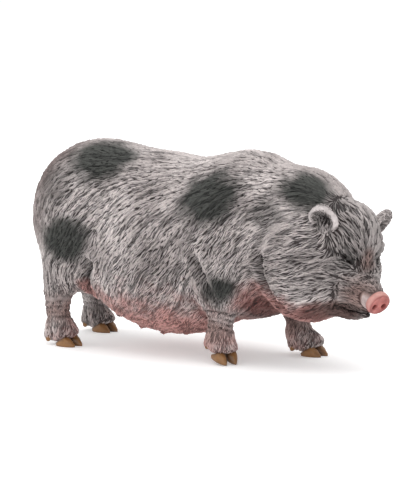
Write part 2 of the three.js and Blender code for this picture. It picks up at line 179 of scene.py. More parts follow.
def ball(centre, radii):
    def field(x, y, z):
        d = [(v - c, r) for v, c, r in zip((x, y, z), centre, radii)]
        near = np.sqrt(sum((v / r) ** 2 for v, r in d))
        steep = np.sqrt(sum((v / r**2) ** 2 for v, r in d))
        return near * (near - 1) / np.maximum(steep, 1e-6)

    return field


def limb(*joints):
    def field(x, y, z):
        best = np.float32(1e3)
        for (ax, ay, az, ar), (bx, by, bz, br) in zip(joints, joints[1:]):
            ux, uy, uz = bx - ax, by - ay, bz - az
            t = np.clip(((x - ax) * ux + (y - ay) * uy + (z - az) * uz) / (ux * ux + uy * uy + uz * uz), 0, 1)
            reach = np.sqrt((x - ax - t * ux) ** 2 + (y - ay - t * uy) ** 2 + (z - az - t * uz) ** 2)
            best = np.minimum(best, reach - (ar + (br - ar) * t))
        return best

    return field


def melt(width, *fields):
    def field(x, y, z):
        d = fields[0](x, y, z)
        for other in fields[1:]:
            e = other(x, y, z)
            h = np.maximum(width - np.abs(d - e), 0) / width
            d = np.minimum(d, e) - h * h * width / 4
        return d

    return field


def scooped(width, field, hollow):
    filled = melt(width, lambda x, y, z: -field(x, y, z), hollow)
    return lambda x, y, z: -filled(x, y, z)


def placed(matrix, field):
    m = np.array(matrix.inverted(), np.float32)
    return lambda x, y, z: field(*(m[r, 0] * x + m[r, 1] * y + m[r, 2] * z + m[r, 3] for r in range(3)))


def between(a, b, t):
    return a + (b - a) * t


def step_up(v, low, high):
    t = np.clip((v - low) / (high - low), 0, 1)
    return t * t * (3 - 2 * t)


trunk = melt(
    6,
    ball((HIPS, 0, 27.4), (15.2, 14.5, 14.5)),  # rump
    ball((1, 0, 20.2), (22.5, 17, 16.6)),  # belly
    ball((-2.5, 0, 27.8), (20, 11.5, 12)),  # back
    ball((SHOULDERS + 2, 0, 27), (14.5, 14, 14.6)),  # shoulders
    ball((21, 0, 18.3), (9, 8.5, 8.5)),  # brisket
)
neck = melt(4, ball((31, -0.5, 25.6), (12.6, 12.4, 13.6)), ball((35.6, -1.2, 19), (8.8, 11.4, 9.4)))


def foot_frame(leg):
    """The place of a foot, tilted up on the tips of its hooves."""
    stood = turned((leg.foot, leg.side * leg.track, GROUND), leg.turn)
    return stood @ turned((TOE_AHEAD, 0, 0), 0, leg.tilt) @ turned((-TOE_AHEAD, 0, 0))


def foot_flesh(leg):
    fetlock = limb((-leg.heel, 0, 4.4, 2.45), (0, 0, 2.75, 2.2), (-1.7, 0, 2, 1.8))
    coronet_roll = ball((0.2, 0, 2.4), (2.1, 2.75, 1.9))
    lobe = limb((-leg.heel - 1.6, 0, 4.4, 1.6), (-3.7, 0, 2, 1.2))
    sleeves = [limb((-3.4, way * 1.15, 3.2, 1.05), (-3.9, way * 1.2, 2, 0.95)) for way in (1, -1)]
    return placed(foot_frame(leg), melt(1.2, fetlock, coronet_roll, lobe, *sleeves))


def leg_flesh(leg):
    y = leg.side * leg.track
    if leg.name.startswith("fore"):
        upper = ball((SHOULDERS + 1, leg.side * 8.6, 22), (8.4, 6, 11))
        elbow, bend = (between(SHOULDERS, leg.bend, 0.5), y * 0.98, 16, 4.8), (leg.bend, y, 9.7, 2.9)
        ankle, soft = ((leg.shank, y, 6.6, 2.45), (leg.foot - leg.heel, y, 4.8, 2.4)), 2.5
    else:
        upper = ball((HIPS + 0.2, leg.side * 8.2, 23.4), (10.3, 6.5, 12))
        elbow, bend = (between(HIPS, leg.bend, 0.4) - 0.4, y * 0.98, 17, 4.9), (leg.bend, y, 11.4, 3.1)
        ankle, soft = ((leg.shank, y, 7.2, 2.6), (leg.foot - leg.heel, y, 4.6, 2.5)), 2
    return melt(1, melt(soft, upper, limb(elbow, bend, *ankle)), foot_flesh(leg))


legs = [leg_flesh(leg) for leg in STANCE]

HEAD = turned((52, -3.8, 14.6), -18, 20)  # its own x runs out of the snout
skull = melt(
    3,
    ball((-14, 0, 5.4), (8.1, 5.9, 8.8)),
    ball((-12.2, -0.3, 9.6), (4.8, 4.4, 4.6)),  # forehead
    ball((-11, 0, 0.6), (6.8, 6, 6)),
)
muzzle = limb((-1.2, 0, 0, 2.3), (-4, 0, 0.4, 3.15), (-7.5, 0, 1.4, 4.35))
brows_and_cheeks = [
    melt(
        1,
        ball((-8.8, side * 1.8, 8.5), (2.2, 2.1, 1.8)),  # brow
        ball((-9.6, side * 3.1, 3.6), (3.1, 1.8, 2.4)),  # cheekbone
        ball((-14.1, side * 4.1, -0.8), (6.3, 4, 5.8)),  # jowl
    )
    for side in (1, -1)
]
jaw = melt(
    1.5,
    limb((-1.4, 0, -3.1, 0.9), (-5.6, 0, -3.5, 2.3), (-12, 0, -2.2, 4.1)),
    ball((-12.5, 0, -2.4), (6, 5.6, 3.8)),
    ball((-8.8, 0, -4.2), (5, 3.5, 3)),
)
head = placed(HEAD, melt(1, melt(1.6, skull, muzzle, *brows_and_cheeks), jaw))

TAIL_X = HIPS - 14.6
tail = limb(
    (TAIL_X, 0, 32, 1.4),
    (TAIL_X - 1.1, 0.4, 28.6, 1.1),
    (TAIL_X - 1, 0.9, 24.6, 1),
    (TAIL_X - 0.4, 1.2, 21, 1.2),
    (TAIL_X + 0.1, 1.1, 18.6, 0.7),
)
body = melt(2.6, trunk, *legs)


def belly_height(x, y):
    z = np.arange(1, 12, 0.02)
    return z[np.argmax(body(x, y, z) < 0)]


TEAT_ROWS, TEAT_APART, TEAT_SUNK, TEAT_LEAN = np.linspace(-11, 12, 5), 4.6, 0.25, 14
TEAT = ball((0, 0, 0), (0.9, 0.9, 1.05))
TEAT_PLACES = [(x, side) for x in TEAT_ROWS for side in (1, -1) if side < 0 or x < TEAT_ROWS[-1]]
teats = []
for x, side in TEAT_PLACES:
    y = side * TEAT_APART
    teats.append(placed(turned((x, y, belly_height(x, y) + TEAT_SUNK), 0, 0, side * TEAT_LEAN), TEAT))
whole = melt(0.8, melt(2.2, melt(3, body, neck), head), tail, *teats)

CORONET, CORONET_AT, CORONET_SLOPE = 2.0, 1.2, math.tan(math.radians(24))  # where flesh meets horn
DISC_TILT = 12  # the snout disc looks a little further down than the face


def below_coronet(x, y, z):
    """How far a place in a foot's frame lies under its coronet."""
    here = (np.abs(x) < 7) & (np.abs(y) < 4.4) & (z < 5)
    return np.where(here, CORONET + CORONET_SLOPE * (x - CORONET_AT) - z, -9)


coronets = [placed(foot_frame(leg), below_coronet) for leg in STANCE]


def under_coronet(x, y, z):
    return np.maximum.reduce([depth(x, y, z) for depth in coronets] + [GROUND + 0 * x - z])


DISC_FRAME = HEAD @ turned((0, 0, 0), 0, DISC_TILT)
DISC_SEAT = placed(DISC_FRAME, lambda x, y, z: x + 0.5)


def flesh(x, y, z):
    skin_deep = whole(x, y, z) + BRISTLE_DEPTH
    kept = melt(0.8, lambda *p: -skin_deep, lambda *p: -under_coronet(*p), lambda *p: -DISC_SEAT(*p))
    return -kept(x, y, z)


def netted(field, low, high, cell):
    """A closed mesh of a field: one point in each cell of a grid that its surface crosses."""
    axes = [np.arange(a, b + cell, cell, dtype=np.float32) for a, b in zip(low, high)]
    value = field(*np.meshgrid(*axes, indexing="ij"))
    inside = value < 0
    corners = list(product((0, 1), repeat=3))
    span = [n - 1 for n in value.shape]
    shifts = (tuple(slice(a, a + n) for a, n in zip(corner, span)) for corner in corners)
    count = sum(inside[shift].astype(np.int8) for shift in shifts)
    crossed = (count > 0) & (count < 8)
    cells = np.argwhere(crossed)
    number = np.full(crossed.shape, -1)
    number[crossed] = np.arange(len(cells))
    total, hits = np.zeros((len(cells), 3)), np.zeros(len(cells))
    for a in corners:
        for axis in range(3):
            if a[axis]:
                continue
            b = [v + (n == axis) for n, v in enumerate(a)]
            va, vb = (value[tuple((cells + c).T)].astype(float) for c in (a, b))
            cut = (va < 0) != (vb < 0)
            t = np.where(cut, va / np.where(cut, va - vb, 1), 0)
            step = np.outer(t, [float(n == axis) for n in range(3)]) + a
            total += step * cut[:, None]
            hits += cut
    points = np.array(low) + (cells + total / hits[:, None]) * cell
    quads = []
    for axis in range(3):
        lower = np.take(inside, range(0, inside.shape[axis] - 1), axis)
        upper = np.take(inside, range(1, inside.shape[axis]), axis)
        at = np.argwhere(lower != upper)
        b, c = np.eye(3, dtype=int)[(axis + 1) % 3], np.eye(3, dtype=int)[(axis + 2) % 3]
        around = ((1, 1), (0, 1), (0, 0), (1, 0))
        quad = np.stack([number[tuple((at - m * b - n * c).T)] for m, n in around], 1)
        outward = lower[tuple(at.T)]
        quads.append(np.where(outward[:, None], quad, quad[:, ::-1]))
    return points, np.concatenate(quads)


def slope_of(field, p, reach=0.02):
    steps = np.eye(3) * reach
    return np.stack([(field(*(p + s).T) - field(*(p - s).T)) / (2 * reach) for s in steps], 1)


def settled(field, p, rounds=2):
    for _ in range(rounds):
        slope = slope_of(field, p)
        p = p - slope * (field(*p.T) / np.maximum((slope**2).sum(1), 0.05))[:, None]
    return p


SKIN_LOW, SKIN_HIGH, SKIN_CELL = (-37, -19, -1), (56, 19, 43.5), 0.42
FACE_BACK = -12  # in the head's own frame
points, quads = netted(flesh, SKIN_LOW, SKIN_HIGH, SKIN_CELL)
points = settled(flesh, points, 1)

# The face is worked on a net twice as fine.
shaped = bmesh.new()
net = [shaped.verts.new(p) for p in points]
for quad in quads:
    shaped.faces.new([net[i] for i in quad])
shaped.verts.index_update()
fine = moved(points, HEAD.inverted())[:, 0] > FACE_BACK
face_edges = [e for e in shaped.edges if fine[e.verts[0].index] and fine[e.verts[1].index]]
bmesh.ops.subdivide_edges(shaped, edges=face_edges, cuts=1, use_grid_fill=True)
bmesh.ops.triangulate(shaped, faces=[f for f in shaped.faces if len(f.verts) > 4])
shaped.verts.index_update()
points = settled(flesh, np.array([v.co for v in shaped.verts]))
faces = [[v.index for v in f.verts] for f in shaped.faces]
shaped.free()

eye_low, eye_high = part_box("eye_right")
RIGHT_EYE = Vector((-7.6, -3.4, 5.8))  # its middle, in the head's frame
set_by = np.array((eye_low + eye_high) / 2) * 1000 - np.array(HEAD @ RIGHT_EYE)
set_by[2] = -GROUND


def in_row(p):
    return (p + set_by) / 1000


# Folds, wrinkles, lids and lips are pressed into the flesh or raised on it, by millimetres along its
# own normal. Paths are in the sow's frame, mirrored on her left, or in the head's.
def off_path(p, path):
    """How far points lie from a line of straight stretches."""
    near = np.full(len(p), 1e3)
    for a, b in zip(np.array(path[:-1], float), np.array(path[1:], float)):
        t = np.clip(((p - a) @ (b - a)) / ((b - a) @ (b - a)), 0, 1)
        near = np.minimum(near, size(p - a - np.outer(t, b - a)))
    return near


def bump(distance, width):
    return np.exp(-((distance / width) ** 2))


def lumpy(p, width, shift=(0, 0, 0)):
    """Soft lumps of about one width, from -1 to 1."""
    shift = Vector(shift)
    return np.array([noise.noise(Vector(q) / width + shift) for q in p.tolist()])


FOLDS = (  # depth, width, how much further ahead it lies on the left, path with y on one side
    (0.6, 0.8, 0, ((32.3, 12.7, 28), (31.2, 12.8, 25.4), (30.5, 12.5, 22))),
    (1.6, 0.9, 0, ((30.5, 12.5, 22), (30.3, 12.3, 19.2), (32, 11.2, 14.8), (34.2, 8.2, 11.2),
                   (36.6, 5, 9.7))),
    (1.2, 0.9, 2, ((16, 15.4, 22), (17.4, 15.2, 19.8), (19, 15, 17.2), (20.1, 13.9, 13.5))),
    (1.2, 0.9, -3, ((-10.3, 14.6, 18), (-13.1, 12.7, 14.5), (-14.2, 10, 12))),
    (0.35, 0.7, 1, ((26, 12.6, 20), (27, 11.6, 16), (27.5, 10, 13))),
)
FACE_FOLDS = (  # depth, width, path in the head's frame
    (0.5, 0.42, ((-6.2, 4.6, 3.6), (-6.6, 5, 2.1), (-7.1, 4.9, -0.2), (-6.9, 4.4, -2.1), (-8, 3.9, -4.7))),
    (0.3, 0.3, ((-9.6, 5.3, 4.9), (-8.2, 5, 4.1), (-6.9, 4.5, 3.9), (-5.6, 3.4, 4.2))),
    (0.26, 0.3, ((-9.4, 5.6, 3.5), (-8, 5.3, 2.8), (-6.7, 4.6, 2.7))),
    (0.22, 0.26, ((-3.4, 3, 1.8), (-4, 2.9, -0.4), (-4.4, 2.6, -2))),
    (0.2, 0.22, ((-4.6, 0, 4.3), (-4.9, 1.6, 3.9), (-5.2, 2.9, 2.9))),
    (0.2, 0.22, ((-3.4, 0, 3.4), (-3.5, 1.4, 3.1), (-3.7, 2.6, 2.1))),
)
LOW_RING_FORE, LOW_RING_HIND = 7.3, 6.2  # lowest wrinkle round the shanks
# The mouth is seen from the side. The eye's slit is the left one, mirrored for the right.
MOUTH_LINE = ((-6.6, 0, -3.9), (-5.2, 0, -4), (-3.4, 0, -3.7), (-1.4, 0, -3.25), (2, 0, -2.9))
EYE_SLIT = np.array((-7.48, 3.62, 5.83))
LIDS = (  # height, how far over the slit and ahead in it, width across and along it
    (0.26, 0.72, 0, 0.3, 1.9),
    (0.2, -0.68, 0, 0.26, 1.6),
    (-0.24, 1.25, 0, 0.26, 2),
    (0.55, 2.0, -0.2, 0.6, 2.4),
    (-0.2, -1.15, 0, 0.24, 1.9),
)
DEWLAP, DEWLAP_SIZE, DEWLAP_FULL = (27.5, -1, 9.3), (6, 8, 3.2), 0.6
WRINKLES, WRINKLE_DEPTH, MOUTH_DEPTH, EYE_DEPTH, LUMPS = (0, 1, 2.05, 3.2), 0.36, 1.1, 0.55, 0.13


def fold(d, depth, width, lip, lip_at):
    """A groove with a raised lip beside it."""
    return -depth * bump(d, width) + lip * depth * bump(d - lip_at * width, width)


def one_sided(p):
    return p * (1, 0, 1) + np.abs(p) * (0, 1, 0)


def eye_axes(side):
    """The ways along an eye's slit, across it and out of the head."""
    out = Vector((0.42, side * 0.9, 0.12)).normalized()
    along = Vector((0.78, -side * 0.42, -0.46))
    along = (along - along.dot(out) * out).normalized()
    return along, out.cross(along) * side, out


def from_slit(p, side):
    """Points in the head's frame, taken from the middle of an eye's slit: offsets, then along and across."""
    off = p - EYE_SLIT * (1, side, 1)
    along, across, _ = eye_axes(side)
    return off, off @ np.array(along), off @ np.array(across)


raised, wrinkled = np.zeros(len(points)), np.zeros(len(points))
hollow = np.zeros(len(points))  # how deep the wash lies, from 0 to 1
for depth, width, ahead, path in FOLDS:
    d = off_path(one_sided(points) - np.outer(points[:, 1] > 0, (ahead, 0, 0)), path)
    raised += fold(d, depth, width, 0.25, 2.2)
    hollow = np.maximum(hollow, min(1, depth) * bump(d, width * 0.8))
for leg in STANCE:
    low, strong = (LOW_RING_FORE, 1) if leg.foot > 0 else (LOW_RING_HIND, 0.65)
    shank = (leg.shank, leg.side * leg.track, low + 1.9)
    from_shank = size((points - shank) / (4.8, 4.6, 3.6))
    on_leg = np.clip(2.4 - 1.8 * from_shank, 0, 1)
    wrinkled = np.maximum(wrinkled, on_leg)
    level = points[:, 2] + 0.3 * np.sin(points[:, 0] * 0.9 + leg.foot)
    level = level + 0.25 * np.sin(points[:, 1] * 1.2 + leg.foot)
    patchy = lumpy(points, 1.7) * 1.2 + 0.75
    for ring in WRINKLES:
        groove = np.clip(patchy, 0.15, 1) * strong * on_leg * bump(level - low - ring, 0.22)
        raised += -WRINKLE_DEPTH * groove + 0.1 * on_leg * bump(level - low - ring - 0.5, 0.25)
        hollow = np.maximum(hollow, 0.8 * groove)
on_face = moved(points, HEAD.inverted())
face_x, _, face_z = on_face.T
for depth, width, path in FACE_FOLDS:
    d = off_path(one_sided(on_face), path)
    raised += fold(d, depth, width, 0.4, 1.9)
    hollow = np.maximum(hollow, 0.8 * bump(d, width * 0.9))
d = off_path(on_face * (1, 0, 1), MOUTH_LINE)
raised += -MOUTH_DEPTH * bump(d, 0.22) + 0.2 * bump(d - 0.65, 0.35)
hollow = np.maximum(hollow, np.clip(1.7 * bump(d, 0.34), 0, 1))
near_disc = size(on_face * (1, 0.84, 1))  # behind the snout disc the muzzle swells to a roll
raised += 0.28 * bump(face_x + 1.7, 0.55) * (near_disc < 4.5) * (face_z > -2.4)
for side in (1, -1):
    from_eye, u, v = from_slit(on_face, side)
    up = v if eye_axes(side)[1].z > 0 else -v
    close = np.exp(-((size(from_eye) / 3.2) ** 4))
    gape = 0.26 * np.clip(1 - (u / 1.35) ** 2, 0, 1) ** 0.5
    open_eye = np.clip((gape - np.abs(up)) / 0.16, 0, 1) * close
    raised -= EYE_DEPTH * close * open_eye
    for height, over, ahead, across, along in LIDS:
        raised += height * close * bump(up - over, across) * bump(u - ahead, along)
    creases = 0.5 * bump(up - 1.2, 0.3) + 0.4 * bump(up + 1.1, 0.25)
    hollow = np.maximum(hollow, close * np.clip(open_eye + creases, 0, 1))
# The dewlap hangs full, and the whole hide is a little lumpy.
raised += DEWLAP_FULL * bump(size((points - DEWLAP) / DEWLAP_SIZE), 1)
lumps = lumpy(points, 2.6) + 0.6 * lumpy(points, 1.1)
smooth_face = np.clip((face_x + 9) / 5, 0, 1)
raised += LUMPS * lumps * (1 - 0.7 * smooth_face)
normals = slope_of(flesh, points)
normals /= size(normals)[:, None]
points = points + normals * raised[:, None]

# Ears: thick-rimmed cups, each worked on a finer net and rooted in the head.
EARS = {1: ((-13.4, 5.6, 8.1), 42, 20), -1: ((-13.2, -5.8, 9.6), 14, 55)}  # place, lean and turn outwards
EAR_NOD, EAR_HALF_WIDTH, EAR_LOW, EAR_HIGH, EAR_CELL = 22, 3.1, (-4, -4, -4), (3, 4, 7.4), 0.2
EAR_CUP = ball((1.5, 0, 2.6), (2.1, 2.5, 2.6))


def ear_frame(side):
    place, lean, turn_out = EARS[side]
    return HEAD @ turned(place, side * turn_out, EAR_NOD, -side * lean)


def ear_field(side):
    """In the ear's own frame x is out of the cup, y across it and z up to the tip."""
    shell = ball((0, 0, 2.4), (1.35, EAR_HALF_WIDTH, 2.9))
    tip = ball((-0.5, 0, 4.3), (0.8, 1.5, 1.3))
    notch = limb((1.5, side * 1.7, 0.2, 0.5), (0.9, side * 1.2, 1.5, 0.45))
    root = limb((-1.2, 0, -1.6, 1.9), (-0.3, 0, 0.6, 1.7))
    return melt(0.5, scooped(0.4, scooped(0.45, melt(0.9, shell, tip), EAR_CUP), notch), root)


# Round the snout disc the skin is bare, as the ears' rims are, and takes the pale dry brush.
bald = step_up(face_x, -2.7, -2.1) * step_up(face_z, -2.7, -2.2)
bald *= 1 - 0.7 * step_up(face_z, 0.6, 1.8)
bald = np.maximum(bald, 0.75 * wrinkled * (1 - hollow))
skins = [(points, faces, hollow, bald)]
for side in EARS:
    field = ear_field(side)
    p, q = netted(field, EAR_LOW, EAR_HIGH, EAR_CELL)
    p = settled(field, p, 1)
    n = slope_of(field, p)
    x, y, z = p.T
    off_middle = np.hypot(y / 2.5, (z - 2.6) / 2.6)
    from_root = size((p - (-0.2, 0, 1.6)) / (2, 1.7, 2.2))
    deep = step_up(x, -1, -0.6) * np.clip(1.5 - from_root, 0, 1)
    rim = step_up(off_middle, 0.8, 0.95) * step_up(x, -1.1, -0.5) * step_up(z, 0.2, 1.2)
    rim = np.maximum(rim * (side < 0), 0.3 * (1 - deep))  # only the right one's is rubbed bare
    veined = 0.05 * np.sin(y * 9 + 2 * np.sin(z * 2)) * np.clip(z, 0, 1)
    p = p + n / size(n)[:, None] * veined[:, None]
    skins.append((moved(p, ear_frame(side)), q.tolist(), np.clip(deep, 0, 1), rim))


def joined(parts):
    """Meshes with their masks, each in a tuple, as one."""
    faces, start = [], 0
    for p, f, *_ in parts:
        faces += [[i + start for i in face] for face in f]
        start += len(p)
    points, _, *masks = zip(*parts)
    return np.concatenate(points), faces, *(np.concatenate(mask) for mask in masks)


all_points, all_faces, all_hollow, all_bald = joined(skins)

# ---- Paint over the whole figure -----------------------------------------------------------------------
# A thin dark wash lies in the hollows and a pale lilac-grey is dry-brushed on the ridges. Soft black
# spots, a pink belly and throat and a brownish muzzle are sprayed over both with an airbrush.
SPOTS = (  # centre and radii in millimetres, in the sow's frame
    ((-13.2, -7.5, 38.6), (8, 7.4, 6.4)),
    ((-16.9, -14.6, 22.6), (6.6, 5.6, 4.9)),
    ((17.6, -12.6, 33.4), (7.6, 6, 6.3)),
    ((37.8, -6.8, 36), (6.4, 5.6, 4.9)),
    ((22, -14.6, 14.9), (4.2, 4, 3.6)),
    ((-20, 12, 33), (7, 6, 6)),
    ((1, 15, 28), (7.5, 6, 6)),
    ((20, 13, 21), (5.5, 6, 5)),
    ((30, 7, 35), (6, 5, 5)),
)
# The first two lie round the eyes and darken their sockets: painted shade. The others are faint spots of the
# coat.
FAINT_SPOTS_AND_EYE_SHADE = (
    ((46.9, -6.6, 22.6), (3.2, 2.6, 2.6)),
    ((49.3, 1.3, 22.6), (3.2, 2.6, 2.6)),
    ((-21, -11, 32), (7, 6, 8)),
    ((31, -11.5, 31), (5, 4, 4)),
)
PINKS = (
    ((2, 0, 2), (25, 22, 14.5)),
    ((-13.8, -11, 12), (2.6, 4, 3)),
    ((33, -4, 9.5), (9, 9, 7)),
    ((27, 11, 13), (4, 5, 4)),
    ((29, -8, 11.8), (8, 8, 5.8)),
    ((38, -6, 11.6), (5, 6, 3)),
)
# Painted shade: the throat under the jowl, the back of the rump and the underside of the jaw are darkened
# where shade falls on them.
PAINTED_SHADE_PATCHES = (((27, 0, 12), (8.5, 15, 7)), ((-28, 0, 32), (14, 18, 16)), ((42, -6, 11.6), (9, 8, 3)))
BROWNISH = (
    ((48.5, -5, 15.2), (5.5, 4.6, 5)),
    ((48.6, -2.9, 22.4), (2, 2, 3.4)),
    ((44, -5, 12.3), (6.5, 6, 3.2)),
    *(((leg.shank, leg.side * leg.track, 7.5), (4, 4.5, 5)) for leg in STANCE[:3]),
)
FLOAT, COLOUR, VECTOR = "NodeSocketFloat", "NodeSocketColor", "NodeSocketVector"


def group(name, takes, gives):
    tree = bpy.data.node_groups.new(name, "ShaderNodeTree")
    for label, kind in takes:
        tree.interface.new_socket(label, in_out="INPUT", socket_type=kind)
    for label, kind in gives:
        tree.interface.new_socket(label, in_out="OUTPUT", socket_type=kind)
    return tree, tree.nodes.new("NodeGroupInput"), tree.nodes.new("NodeGroupOutput")


def calc(tree, operation, a, b):
    return node(tree, "Math", {0: a, 1: b}, operation=operation).outputs[0]


def ranged(tree, value, low, high, to_low=0.0, to_high=1.0, ease="LINEAR"):
    """A value that goes from low to high, made to go from to_low to to_high."""
    ends = {"Value": value, "From Min": low, "From Max": high, "To Min": to_low, "To Max": to_high}
    return node(tree, "MapRange", ends, interpolation_type=ease).outputs[0]


def sprayed(tree, place, ragged, patches, inner, outer):
    """A soft mask over the given ellipsoids, with a ragged edge."""
    mask = None
    for centre, radii in patches:
        middle, reaches = tuple(in_row(np.array(centre, float))), tuple(r / 1000 for r in radii)
        off = node(tree, "VectorMath", {0: place, 1: middle}, operation="SUBTRACT").outputs[0]
        off = node(tree, "VectorMath", {0: off, 1: reaches}, operation="DIVIDE").outputs[0]
        reach = node(tree, "VectorMath", {0: off}, operation="LENGTH").outputs["Value"]
        soft = ranged(tree, calc(tree, "ADD", reach, ragged), outer, inner, ease="SMOOTHSTEP")
        mask = soft if mask is None else calc(tree, "MAXIMUM", mask, soft)
    return mask


markings, takes, gives = group("Sow markings", [("Place", VECTOR)],
                               [("Ridge", COLOUR), ("Hollow", COLOUR), ("Spots and eye shade", FLOAT), ("Pink", FLOAT)])
place = takes.outputs["Place"]
ragged = ranged(markings, grain(markings, 300.0, 3.0, Vector=place), 0.3, 0.7, -0.16, 0.16)
spots_and_eye_shade = sprayed(markings, place, ragged, SPOTS, 0.55, 1.3)
faint = sprayed(markings, place, ragged, FAINT_SPOTS_AND_EYE_SHADE, 0.3, 1.15)
# Faint spots, and the painted shade round the eyes, go on at half strength.
spots_and_eye_shade = calc(markings, "MAXIMUM", spots_and_eye_shade, calc(markings, "MULTIPLY", faint, 0.5))
pink = sprayed(markings, place, ragged, PINKS, 0.55, 1.3)
tinge = sprayed(markings, place, ragged, BROWNISH, 0.3, 1.2)
shade_patches_and_root_wash = sprayed(markings, place, ragged, PAINTED_SHADE_PATCHES, 0.45, 1.2)
cloud = ranged(markings, grain(markings, 120.0, 4.0, Vector=place), 0.35, 0.65)
ridge = mixed(markings, cloud, srgb(170, 161, 159), srgb(208, 199, 197))
gap = mixed(markings, cloud, srgb(34, 27, 27), srgb(52, 43, 43))
ridge, gap = mixed(markings, pink, ridge, srgb(194, 148, 142)), mixed(markings, pink, gap, srgb(104, 56, 54))
ridge, gap = mixed(markings, tinge, ridge, srgb(162, 137, 131)), mixed(markings, tinge, gap, srgb(62, 42, 39))
# Over the shade patches the ridges are multiplied darker: painted shade.
ridge = mixed(markings, shade_patches_and_root_wash, ridge, srgb(160, 149, 148), "MULTIPLY")
ridge, gap = mixed(markings, spots_and_eye_shade, ridge, srgb(72, 73, 70)), mixed(markings, spots_and_eye_shade, gap, srgb(36, 37, 35))
for label, value in (("Ridge", ridge), ("Hollow", gap), ("Spots and eye shade", spots_and_eye_shade), ("Pink", pink)):
    markings.links.new(value, gives.inputs[label])

# Fine strokes of the brush break the paint up, and leave its film uneven in gloss.
brushwork, takes, gives = group(
    "Brushwork", [("Place", VECTOR), ("Scale", FLOAT), ("Colour", COLOUR), ("Strength", FLOAT)],
    [("Colour", COLOUR), ("Height", FLOAT), ("Roughness", FLOAT)])
colour = takes.outputs["Colour"]
speck = grain(brushwork, takes.outputs["Scale"], 4.0, Vector=takes.outputs["Place"], Roughness=0.6)
broken = mixed(brushwork, 1.0, colour, ranged(brushwork, speck, 0.3, 0.7, 0.62, 1.25), "MULTIPLY")
broken = mixed(brushwork, takes.outputs["Strength"], colour, broken)
dull = ranged(brushwork, speck, 0.0, 1.0, 0.5, 0.75)
for label, value in (("Colour", broken), ("Height", speck), ("Roughness", dull)):
    brushwork.links.new(value, gives.inputs[label])


def own_mask(tree, label):
    return node(tree, "Attribute", attribute_name=label).outputs["Fac"]


def own_place(tree):
    return node(tree, "TexCoord").outputs["Object"]


def brushed_on(tree, shader, place, colour, scale, strength, relief, deep=0.0001):
    """Lays a colour on a piece in fine strokes that stand up a little, and gives their gloss."""
    worked = node(tree, "Group", {"Place": place, "Scale": scale, "Colour": colour, "Strength": strength},
                  node_tree=brushwork)
    strokes = node(tree, "Bump", {"Height": worked.outputs["Height"], "Strength": relief, "Distance": deep})
    tree.links.new(worked.outputs["Colour"], shader.inputs["Base Color"])
    tree.links.new(strokes.outputs[0], shader.inputs["Normal"])
    return worked.outputs["Roughness"]


def masked(mesh, **masks):
    for label, values in masks.items():
        mesh.attributes.new(label, "FLOAT", "POINT").data.foreach_set("value", values.astype(np.float32))


skin_paint, tree, shader = paint("Skin in the wash", 0.6, Specular_IOR_Level=0.25)
place, bald = own_place(tree), own_mask(tree, "bald")
marks = node(tree, "Group", {"Place": place}, node_tree=markings)
fair = calc(tree, "ADD", calc(tree, "MULTIPLY", marks.outputs["Pink"], 0.35), 0.03)
fair = calc(tree, "MAXIMUM", fair, bald)
colour = mixed(tree, fair, marks.outputs["Hollow"], marks.outputs["Ridge"])
colour = mixed(tree, ranged(tree, bald, 0.76, 1.0, to_high=0.4), colour, srgb(196, 188, 188))
dark_wash_and_painted_shade = mixed(tree, 0.9, marks.outputs["Hollow"], srgb(20, 12, 12))
colour = mixed(tree, own_mask(tree, "hollow"), colour, dark_wash_and_painted_shade)
gloss = brushed_on(tree, shader, place, colour, 1500.0, 0.8, 0.4)
tree.links.new(gloss, shader.inputs["Roughness"])

skin = surface_piece("skin", in_row(all_points), all_faces, skin_paint)
masked(skin.data, hollow=all_hollow, bald=all_bald)
FLESH = ("trunk", "neck", "head", "tail", "ear", "leg")
FLESH_NODES = [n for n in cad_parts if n.split("_")[0] in FLESH]
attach(skin, "root")
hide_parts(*FLESH_NODES)

# ---- Coat ------------------------------------------------------------------------------------------------
# The bristles are sculpted: thin tapered ribs, pressed a little into the skin, that overlap like shingles
# and follow the lie of a sow's coat. They are longest on the forehead, tail and neck, and finest on the
# ears, muzzle and shanks. Ridges catch the dry brush, and the gaps keep the wash.
BRISTLES = {  # width, length and height, how closely they cover, and how far they stray
    "flank": (0.32, 1.75, 0.29, 3.9, 0.17),
    "belly": (0.32, 1.2, 0.22, 3.3, 0.45),
    "neck": (0.34, 2.1, 0.33, 4.4, 0.18),
    "brow": (0.46, 3.2, 0.46, 4.2, 0.2),
    "cheek": (0.31, 1.9, 0.27, 6.4, 0.22),
    "muzzle": (0.28, 1.1, 0.2, 5.2, 0.3),
    "leg": (0.34, 1.1, 0.2, 3.4, 0.3),
    "shank": (0.3, 0.8, 0.1, 1.5, 0.35),
    "foot": (0.34, 1.6, 0.22, 4.0, 0.2),
    "tail": (0.32, 2.2, 0.26, 4.0, 0.15),
    "ear": (0.22, 1.1, 0.1, 3.4, 0.15),
}
CONTRAST = {"brow": 0.75, "cheek": 0.56, "neck": 0.54}  # of the locks, 0.52 elsewhere
DULLED = {"brow": 0.67, "cheek": 0.86, "muzzle": 0.82, "shank": 0.95}  # where the dry brush hardly touches
KINDS = list(BRISTLES)
STEPS = 5  # points along a bristle
SEED = 11
BALDEST = 0.4  # above this the skin grows no hair, apart from that of the shanks and feet
EYE_BARE, EYE_CLEAR = (1.4, 0.34, 2.4), (1.3, 0.26, 1.8)  # half length, half height and reach of a slit
TEAT_BARE, MOUTH_CLEAR = 1.1, 0.2
CREST_AT, CREST_WIDTH, CREST_THICKER = -18.5, 2, 1.5  # where the neck's crest meets the forehead
SHARPEST = 0.45  # how alike a bristle's two ends must point, and how short it is if they don't
LOCK_STEPS, LOCK_STEP, LOCK_WIDTH = 6, 0.45, 0.45  # each way from a root along the flow
SHOULDER_FROM, RUMP_FROM = 12, -9
BAKE_PATCH = 0.003

